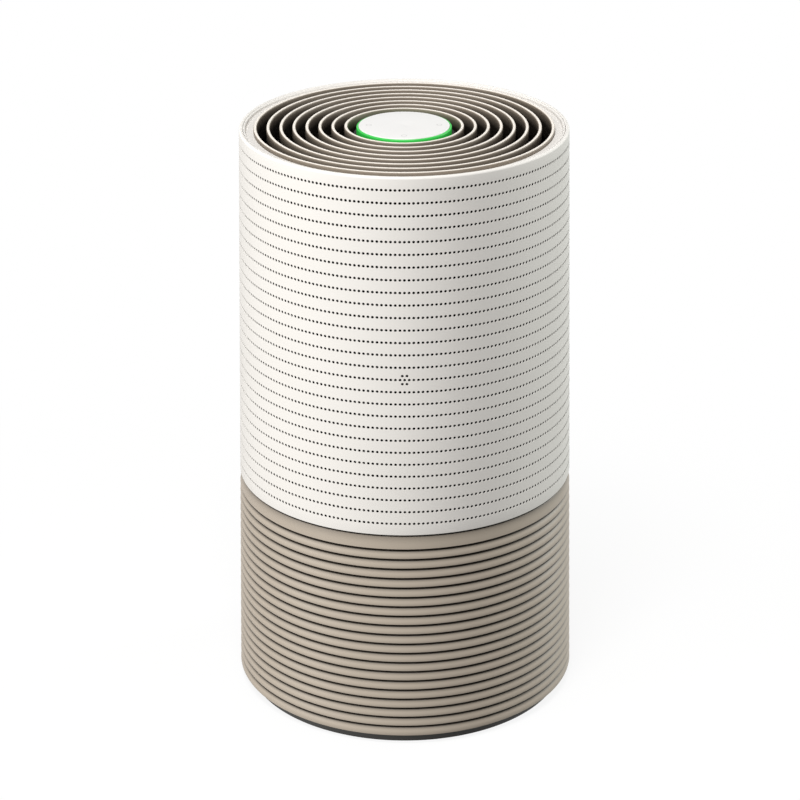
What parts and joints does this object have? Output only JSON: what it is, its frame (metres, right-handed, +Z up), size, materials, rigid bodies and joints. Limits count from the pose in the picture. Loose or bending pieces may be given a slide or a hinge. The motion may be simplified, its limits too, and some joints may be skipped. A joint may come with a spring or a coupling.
{
  "type": "air purifier",
  "caption": "Tapered tower air purifier: louvred taupe intake shell, white upper shell, ring grille outlet on top with a round lit control disc, filter and fan inside.",
  "frame": {"origin": "on the floor, under the axis of the tower", "axes": "+Z up along the axis, front of the object towards -Y, power inlet towards +Y"},
  "size_m": [0.226, 0.226, 0.3854],
  "materials": {
    "white_shell": "fine spark-eroded texture",
    "taupe_shell": "fine spark-eroded texture",
    "dark_base": "matte moulded",
    "foot_rubber": "matte",
    "filter_cap": "matte moulded",
    "filter_paper": "pleated glass-fibre paper",
    "prefilter_mesh": "woven nylon net",
    "carbon": "granulated",
    "foam": "open-cell foam",
    "black_mesh": "woven nylon net",
    "screw_steel": "zinc plated",
    "black_plastic": "matte moulded",
    "stator_steel": "stacked laminations",
    "bearing_steel": "ground",
    "impeller_plastic": "moulded",
    "rotor_steel": "pressed and plated",
    "magnet": "sintered",
    "circuit_board": "solder mask",
    "terminal_plastic": "moulded",
    "transformer_core": "taped",
    "sink_aluminium": "extruded",
    "capacitor_sleeve": "shrink sleeve",
    "lead_sheath": "matte",
    "inlet_plastic": "moulded",
    "pin_brass": "turned",
    "sensor_plastic": "moulded",
    "grille_taupe": "fine spark-eroded texture",
    "led_lens": "clear epoxy",
    "light_green": "translucent, lit from inside",
    "switch_plastic": "moulded",
    "silicone": "moulded",
    "disc_white": "satin moulded"
  },
  "bodies": {
    "base": {"foot_ring": "foot_rubber", "base_cover": "dark_base", "filter_bottom_cap": "filter_cap", "filter_media": "filter_paper", "prefilter_sleeve": "prefilter_mesh", "carbon_core": "carbon", "filter_top_cap": "filter_cap", "filter_gasket": "foam"},
    "housing": {"lower_shell": "taupe_shell", "intake_screen": "black_mesh", "upper_shell": "white_shell", "upper_screen": "black_mesh", "lower_shell_screws": "screw_steel", "upper_shell_screws": "screw_steel", "fan_deck": "black_plastic", "inlet_bell": "black_plastic", "inlet_guard": "black_plastic", "fan_duct": "black_plastic", "vane_ring": "black_plastic", "motor_stator": "stator_steel", "motor_bearings": "bearing_steel", "motor_screws": "screw_steel", "hub_column": "black_plastic", "main_board": "circuit_board", "board_screws": "screw_steel", "terminal_block": "terminal_plastic", "transformer": "transformer_core", "heat_sink": "sink_aluminium", "capacitors": "capacitor_sleeve", "power_lead": "lead_sheath", "motor_lead": "lead_sheath", "control_lead": "lead_sheath", "power_inlet": "inlet_plastic", "inlet_pins": "pin_brass", "sensor_module": "sensor_plastic", "sensor_gasket": "foam", "outlet_grille": "grille_taupe", "control_pod": "black_plastic", "control_board": "circuit_board", "board_leds": "led_lens", "light_ring": "light_green", "tact_switches": "switch_plastic", "switch_domes": "silicone"},
    "rotor": {"impeller": "impeller_plastic", "motor_shaft": "bearing_steel", "rotor_can": "rotor_steel", "rotor_magnet": "magnet", "impeller_nut": "screw_steel"},
    "button": {"control_disc": "disc_white"}
  },
  "joints": [
    {"name": "housing_lift", "type": "slide", "parent": "base", "child": "housing", "axis": [0, 0, 1], "range_m": [0, 0.16]},
    {"name": "fan_spin", "type": "hinge", "parent": "housing", "child": "rotor", "pos_m": [0, 0, 0.2], "axis": [0, 0, 1], "continuous": true},
    {"name": "disc_press", "type": "slide", "parent": "housing", "child": "button", "axis": [0, 0, -1], "range_m": [0, 0.0008], "stiffness_N_per_m": 500, "springref_m": -0.001, "deforming": ["switch_domes"]}
  ]
}
